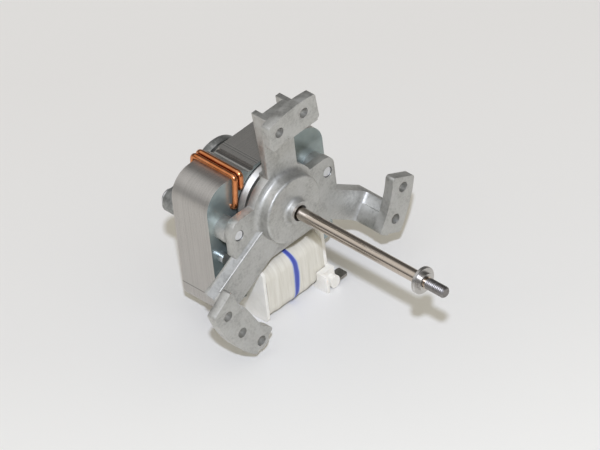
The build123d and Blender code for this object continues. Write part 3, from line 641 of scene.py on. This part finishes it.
def sheet_stack_tree(finish):
    """Sheets set behind each other, each moved a hair and toned on its own."""
    tree, given, out = node_tree(
        "stack of sheets",
        ("Count", "NodeSocketInt", round((CORE_BACK - CORE_FRONT) / SHEET)),
        ("Sheet pitch", "NodeSocketFloat", SHEET * MM),
        ("Sheet thickness", "NodeSocketFloat", (SHEET - SHEET_GAP) * MM),
        ("Slip", "NodeSocketFloat", SHEET_SLIP * MM),
        ("Seed", "NodeSocketInt", SEED),
    )
    sizes = given.outputs
    step = add(tree, "ShaderNodeCombineXYZ", {"Y": sizes["Sheet pitch"]})
    row = {"Count": sizes["Count"], "Offset": step}
    line = add(tree, "GeometryNodeMeshLine", row, mode="OFFSET")
    thick = add(tree, "ShaderNodeCombineXYZ", {"Y": sizes["Sheet thickness"]})
    cut = {"Mesh": sizes["Geometry"], "Offset": thick, "Offset Scale": 1.0, "Individual": False}
    plate = add(tree, "GeometryNodeExtrudeMesh", cut)
    turned_plate = add(tree, "GeometryNodeFlipFaces", {0: plate})
    both = add(tree, "GeometryNodeJoinGeometry", {0: turned_plate})
    feed(tree, both, {0: sizes["Geometry"]})
    back = {0: (-1, 0, -1), "Scale": sizes["Slip"]}
    low = add(tree, "ShaderNodeVectorMath", back, operation="SCALE")
    forth = {0: (1, 0, 1), "Scale": sizes["Slip"]}
    high = add(tree, "ShaderNodeVectorMath", forth, operation="SCALE")
    either_way = {0: low, 1: high, "Seed": sizes["Seed"]}
    slip = add(tree, "FunctionNodeRandomValue", either_way, data_type="FLOAT_VECTOR")
    moved = add(tree, "GeometryNodeSetPosition", {"Geometry": line, "Offset": slip})
    placed = add(tree, "GeometryNodeInstanceOnPoints", {"Points": moved, "Instance": both})
    any_tone = {2: 0.0, 3: 1.0, "Seed": sizes["Seed"]}
    tone = add(tree, "FunctionNodeRandomValue", any_tone, data_type="FLOAT")
    kept_tone = {"Geometry": placed, "Name": "sheet_tone", "Value": tone}
    toned = add(
        tree, "GeometryNodeStoreNamedAttribute", kept_tone, data_type="FLOAT", domain="INSTANCE"
    )
    real = add(tree, "GeometryNodeRealizeInstances", {0: toned})
    dressed = add(tree, "GeometryNodeSetMaterial", {"Geometry": real, "Material": finish})
    feed(tree, out, {0: dressed})
    return tree


stack_tree = sheet_stack_tree(blued_sheets)
for node in ("stator_core", "yoke_bar"):
    stack = grown(node + "_sheets", front_sheet(node, CORE_FRONT), stack_tree, blued_sheets)
    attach(stack, "stator")
    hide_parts(node)


# Shaft and thread

def turned(name, profile, finish):
    """A piece turned round the shaft axis from (depth, radius) points, closed at both ends."""
    form = bmesh.new()
    rings = []
    for depth, radius in profile:
        ring = []
        for i in range(TURNED_AROUND):
            a = 2 * math.pi * i / TURNED_AROUND
            place = (radius * math.cos(a) * MM, depth * MM, radius * math.sin(a) * MM)
            ring.append(form.verts.new(place))
        rings.append(ring)
    for first, second in zip(rings, rings[1:]):
        for i in range(TURNED_AROUND):
            j = (i + 1) % TURNED_AROUND
            form.faces.new((first[i], first[j], second[j], second[i]))
    form.faces.new(rings[0])
    form.faces.new(list(reversed(rings[-1])))
    bmesh.ops.recalc_face_normals(form, faces=form.faces)
    for face in form.faces:
        face.smooth = len(face.verts) == 4
    mesh = put_in(form, bpy.data.meshes.new(name))
    mesh.set_sharp_from_angle(angle=math.radians(TURNED_SHARP))
    return new_piece(name, mesh, finish)


def thread_tree(finish):
    """A screw thread: a rod whose radius rises and falls along a helix."""
    tree, given, out = node_tree(
        "screw thread",
        ("Outer radius", "NodeSocketFloat", THREAD_RADIUS * MM),
        ("Depth", "NodeSocketFloat", THREAD_DEPTH * MM),
        ("Pitch", "NodeSocketFloat", THREAD_PITCH * MM),
        ("Length", "NodeSocketFloat", (NECK_END - SHAFT_TIP) * MM),
        ("Run out", "NodeSocketFloat", TIP_CHAMFER * MM),
    )
    sizes = given.outputs
    outer, length = sizes["Outer radius"], sizes["Length"]
    blank = {"Vertices": THREAD_AROUND, "Side Segments": THREAD_ALONG, "Radius": outer, "Depth": length}
    rod = add(tree, "GeometryNodeMeshCylinder", blank)
    place = add(tree, "GeometryNodeInputPosition")
    parts = add(tree, "ShaderNodeSeparateXYZ", {0: place})
    aside, along = {0: parts.outputs[1], 1: parts.outputs[0]}, parts.outputs[2]
    angle = add(tree, "ShaderNodeMath", aside, operation="ARCTAN2")
    turns = add(tree, "ShaderNodeMath", {0: angle, 1: 2 * math.pi}, operation="DIVIDE")
    climbs = add(tree, "ShaderNodeMath", {0: along, 1: sizes["Pitch"]}, operation="DIVIDE")
    phase = add(tree, "ShaderNodeMath", {0: climbs, 1: turns}, operation="SUBTRACT")
    # Within each turn the flank runs from 0 to a half and back, and the fall from 0 to 1 and back
    flank = add(tree, "ShaderNodeMath", {0: phase, 1: 0.5}, operation="PINGPONG")
    fall = add(tree, "ShaderNodeMath", {0: flank, 1: 2.0}, operation="MULTIPLY")
    cut = add(tree, "ShaderNodeMath", {0: fall, 1: sizes["Depth"]}, operation="MULTIPLY")
    # The thread runs out in a chamfer at the tip
    half = add(tree, "ShaderNodeMath", {0: length, 1: 0.5}, operation="MULTIPLY")
    near_end = add(tree, "ShaderNodeMath", {0: half, 1: along}, operation="SUBTRACT")
    inside = add(tree, "ShaderNodeMath", {0: sizes["Run out"], 1: near_end}, operation="SUBTRACT")
    taper = add(tree, "ShaderNodeMath", {0: inside, 1: 0.0}, operation="MAXIMUM")
    deepest = add(tree, "ShaderNodeMath", {0: cut, 1: taper}, operation="MAXIMUM")
    radius = add(tree, "ShaderNodeMath", {0: outer, 1: deepest}, operation="SUBTRACT")
    share = add(tree, "ShaderNodeMath", {0: radius, 1: outer}, operation="DIVIDE")
    stretch = add(tree, "ShaderNodeCombineXYZ", {"X": share, "Y": share, "Z": 1.0})
    drawn = add(tree, "ShaderNodeVectorMath", {0: place, 1: stretch}, operation="MULTIPLY")
    cut_rod = add(tree, "GeometryNodeSetPosition", {"Geometry": rod, "Position": drawn})
    middle = (0, (NECK_END + SHAFT_TIP) / 2 * MM, 0)
    lying = {"Geometry": cut_rod, "Translation": middle, "Rotation": (math.pi / 2, 0, 0)}
    laid = add(tree, "GeometryNodeTransform", lying)
    real = add(tree, "GeometryNodeRealizeInstances", {0: laid})
    dressed = add(tree, "GeometryNodeSetMaterial", {"Geometry": real, "Material": finish})
    feed(tree, out, {0: dressed})
    return tree


shaft_rod = turned(
    "shaft_rod",
    [
        (SHAFT_REAR, SHAFT_RADIUS - TIP_CHAMFER),
        (SHAFT_REAR - TIP_CHAMFER, SHAFT_RADIUS),
        (SHAFT_STEP, SHAFT_RADIUS),
        (SHAFT_STEP, NECK_RADIUS),
        (NECK_END, NECK_RADIUS),
    ],
    shaft_steel,
)
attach(shaft_rod, "rotor")
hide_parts("shaft")

thread_start = bpy.data.meshes.new("thread_start")
shaft_thread = grown("shaft_thread", thread_start, thread_tree(thread_steel), thread_steel)
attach(shaft_thread, "rotor")


# Coil tape and marking line

def wrap_outline():
    """Points and outward directions round the coil, seen along X, in millimetres."""
    half_deep = CORE_MIDDLE - COIL_FRONT
    half_high = BAR_MIDDLE - COIL_LOW
    points = []
    for sy, sz, start in ((1, 1, 0), (-1, 1, 90), (-1, -1, 180), (1, -1, 270)):
        cy, cz = sy * (half_deep - COIL_ROUND), sz * (half_high - COIL_ROUND)
        bend_middle = Vector((0, CORE_MIDDLE + cy, BAR_MIDDLE + cz))
        for i in range(BEND_STEPS + 1):
            a = math.radians(start + 90 * i / BEND_STEPS)
            out = Vector((0, math.cos(a), math.sin(a)))
            points.append((bend_middle + out * COIL_ROUND, out))
    spread = []
    for (p, n), (q, m) in zip(points, points[1:] + points[:1]):
        parts = max(1, int((q - p).length / TAPE_SPACING))
        for k in range(parts):
            spread.append((p.lerp(q, k / parts), n.lerp(m, k / parts).normalized()))
    return spread


def crease(x, along):
    """How far the tape stands in at a place: long creases round the coil, each of its own depth."""
    value = 0.0
    for k, (pitch, deep) in enumerate(CREASES):
        wander = CREASE_WANDER * math.sin(along / WANDER_LENGTH + k)
        value += deep * (1 + math.sin(2 * math.pi * x / pitch + wander + k))
    return value


def whole_coil(height):
    """Middle and half width of the tape, at any height: from cheek to cheek."""
    return 0.0, COIL_HALF


def stripe_line(height):
    """Middle and half width of the marking line: bowed, and widest halfway up."""
    v = (height - BAR_MIDDLE) / (BAR_MIDDLE - COIL_LOW)
    middle = STRIPE_BOW[0] + STRIPE_BOW[1] * v + STRIPE_BOW[2] * v * v
    width = STRIPE_WIDTHS[0] + STRIPE_WIDTHS[1] * v + STRIPE_WIDTHS[2] * v * v
    return STRIPE_SIDE + middle, width / 2


def wrapped(name, span, x_steps, rise, finish):
    """Tape round the coil: it follows the creases and swells a little between the cheeks."""
    form = bmesh.new()
    edge_share = form.verts.layers.float.new("across")
    rows = []
    outline = wrap_outline()
    for i in range(x_steps + 1):
        row = []
        along = 0.0
        last = outline[-1][0]
        for point, out in outline:
            middle, half = span(point.z)
            x = middle + half * (2 * i / x_steps - 1)
            along += (point - last).length
            last = point
            swell = TAPE_CROWN * (1 - (x / COIL_HALF) ** 2) - TAPE_CROWN
            place = point + out * (rise + swell - crease(x, along))
            row.append(form.verts.new((x * MM, place.y * MM, place.z * MM)))
            row[-1][edge_share] = abs(2 * i / x_steps - 1)
        rows.append(row)
    count = len(rows[0])
    for first, second in zip(rows, rows[1:]):
        for i in range(count):
            j = (i + 1) % count
            form.faces.new((first[i], first[j], second[j], second[i])).smooth = True
    bmesh.ops.recalc_face_normals(form, faces=form.faces)
    return new_piece(name, put_in(form, bpy.data.meshes.new(name)), finish)


tape = wrapped("coil_tape_wrap", whole_coil, TAPE_ACROSS, TAPE_RISE, coil_tape)
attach(tape, "stator")
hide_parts("tape_wrap")
stripe_rise = TAPE_RISE + STRIPE_THICK
stripe = wrapped("marking_stripe", stripe_line, STRIPE_ACROSS, stripe_rise, blue_ink)
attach(stripe, "stator")
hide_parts("marking_band")


# Floor, light and camera

floor_mesh = bpy.data.meshes.new("floor")
floor_mesh.from_pydata(
    [
        (-TABLE_REACH, -TABLE_REACH, TABLE_LEVEL),
        (TABLE_REACH, -TABLE_REACH, TABLE_LEVEL),
        (TABLE_REACH, TABLE_REACH, TABLE_LEVEL),
        (-TABLE_REACH, TABLE_REACH, TABLE_LEVEL),
    ],
    [],
    [(0, 1, 2, 3)],
)
# Glossy white board: it mirrors the motor faintly and keeps its shadow. Painted light makes it paler
# toward the camera.
floor_paint, floor_tree, floor_shader = material("glossy white table", Roughness=0.35)
floor_place = add(floor_tree, "ShaderNodeTexCoord")
painted_light_way = {0: floor_place.outputs["Object"], 1: TABLE_LIGHT_WAY}
near = add(floor_tree, "ShaderNodeVectorMath", painted_light_way, operation="DOT_PRODUCT")
share = add(floor_tree, "ShaderNodeMath", {0: near, 1: TABLE_LIGHT_START}, operation="ADD")
painted_table_light = [(0.1, "#E2E0DD"), (0.5, "#E8E7E5"), (0.9, "#F9F9F7")]
table_lit_tone = add(floor_tree, "ShaderNodeValToRGB", {0: share}, painted_table_light)
feed(floor_tree, floor_shader, {"Base Color": table_lit_tone})
floor = new_piece("floor", floor_mesh, floor_paint)

scene = bpy.context.scene
scene.view_settings.view_transform = "Standard"
world = bpy.data.worlds.new("studio")
scene.world = world
world.use_nodes = True
sky = world.node_tree
tent = sky.nodes["Background"]
feed(sky, tent, {"Color": TENT_COLOUR, "Strength": TENT_STRENGTH})
# Metal sees a dim room with one wide bright screen above its left side, so that round steel
# shows its form
view_way = add(sky, "ShaderNodeTexCoord")
two_ways = {0: view_way.outputs["Generated"], 1: SCREEN_WAY}
toward_screen = add(sky, "ShaderNodeVectorMath", two_ways, operation="DOT_PRODUCT")
screen_tone = add(sky, "ShaderNodeValToRGB", {0: toward_screen}, SCREEN_TONES)
mirrored_room = add(sky, "ShaderNodeBackground", {0: screen_tone, 1: SCREEN_STRENGTH})
ray = add(sky, "ShaderNodeLightPath")
rooms = {0: ray.outputs["Is Glossy Ray"], 1: tent, 2: mirrored_room}
chosen = add(sky, "ShaderNodeMixShader", rooms)
feed(sky, sky.nodes["World Output"], {"Surface": chosen})

lamp = bpy.data.lights.new("lamp", "SUN")
lamp.energy = LAMP_STRENGTH
lamp.color = LAMP_COLOUR
lamp.angle = math.radians(LAMP_WIDTH)
lamp_stand = bpy.data.objects.new("lamp", lamp)
scene.collection.objects.link(lamp_stand)
lamp_stand.rotation_euler = Vector(LAMP_WAY).to_track_quat("Z", "Y").to_euler()


def set_camera(azimuth, elevation, roll, distance, slip_right, slip_up, scale):
    """A long lens far off: azimuth from the front, slips and scale from the fitted photograph."""
    a, e, c = math.radians(azimuth), math.radians(elevation), math.radians(roll)
    back = Vector((math.sin(a) * math.cos(e), -math.cos(a) * math.cos(e), math.sin(e)))
    level = Vector((math.cos(a), math.sin(a), 0))
    rise = level.cross(-back)
    right = level * math.cos(c) + rise * math.sin(c)
    up = -level * math.sin(c) + rise * math.cos(c)
    lens = bpy.data.cameras.new("camera")
    lens.sensor_width = SENSOR
    lens.lens = scale * distance / PICTURE_WIDTH * SENSOR
    lens.clip_end = FAR_SIGHT
    view = bpy.data.objects.new("camera", lens)
    scene.collection.objects.link(view)
    place = (back * distance - right * (slip_right / scale) - up * (slip_up / scale)) * MM
    turn = Matrix((right, up, back)).transposed().to_4x4()
    view.matrix_world = Matrix.Translation(place) @ turn
    scene.camera = view


# Degrees, then millimetres, pixels and pixels to a millimetre
set_camera(
    azimuth=-41.0763,
    elevation=39.1224,
    roll=-7.0990,
    distance=5024.4,
    slip_right=11.6473,
    slip_up=5.68868,
    scale=2.70202,
)
